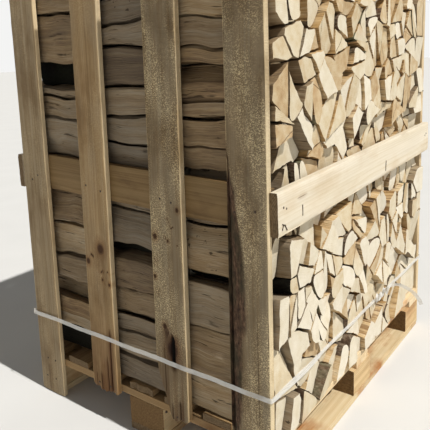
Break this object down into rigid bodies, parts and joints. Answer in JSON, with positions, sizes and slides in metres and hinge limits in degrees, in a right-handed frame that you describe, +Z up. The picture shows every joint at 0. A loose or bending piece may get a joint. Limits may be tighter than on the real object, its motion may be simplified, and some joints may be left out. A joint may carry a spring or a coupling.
{
  "type": "crate of split firewood",
  "caption": "Slatted timber crate on a block pallet, stacked with short split logs, their sawn ends showing at front and back, and tied low down with a plastic strap.",
  "frame": {"origin": "on the ground under the middle of the crate", "axes": "+Z up, +X to the right along the front where the log ends show, +Y from the front to the back"},
  "size_m": [1.2492, 1.0933, 1.6003],
  "materials": {
    "pallet_wood": "rough-sawn, pale, with orange stains",
    "slat_wood": "rough-sawn softwood, matt, with knots and nail heads",
    "rail_wood": "smoother sawn softwood, matt",
    "split_logs": "cream sawn ends, tan split faces, grey-brown bark",
    "strap_plastic": "white, slightly see-through packing strap with a fine diagonal emboss"
  },
  "bodies": {
    "root": {"block_back_centre": "pallet_wood", "block_back_left": "pallet_wood", "block_back_right": "pallet_wood", "block_front_centre": "pallet_wood", "block_front_left": "pallet_wood", "block_front_right": "pallet_wood", "block_middle_centre": "pallet_wood", "block_middle_left": "pallet_wood", "block_middle_right": "pallet_wood", "bottom_board_back": "pallet_wood", "bottom_board_front": "pallet_wood", "bottom_board_middle": "pallet_wood", "deck_board_1": "pallet_wood", "deck_board_2": "pallet_wood", "deck_board_3": "pallet_wood", "deck_board_4": "pallet_wood", "deck_board_5": "pallet_wood", "deck_board_6": "pallet_wood", "deck_board_7": "pallet_wood", "logs_back": "split_logs", "logs_front": "split_logs", "logs_middle": "split_logs", "rail_back_middle": "rail_wood", "rail_back_top": "rail_wood", "rail_front_middle": "rail_wood", "rail_front_top": "rail_wood", "rail_left_middle": "rail_wood", "rail_left_top": "rail_wood", "rail_right_middle": "rail_wood", "rail_right_top": "rail_wood", "slat_left_1": "slat_wood", "slat_left_2": "slat_wood", "slat_left_3": "slat_wood", "slat_left_4": "slat_wood", "slat_right_1": "slat_wood", "slat_right_2": "slat_wood", "slat_right_3": "slat_wood", "slat_right_4": "slat_wood", "strap_knot": "strap_plastic", "strap_loop": "strap_plastic", "strap_tail": "strap_plastic", "stringer_centre": "pallet_wood", "stringer_left": "pallet_wood", "stringer_right": "pallet_wood"}
  },
  "joints": []
}
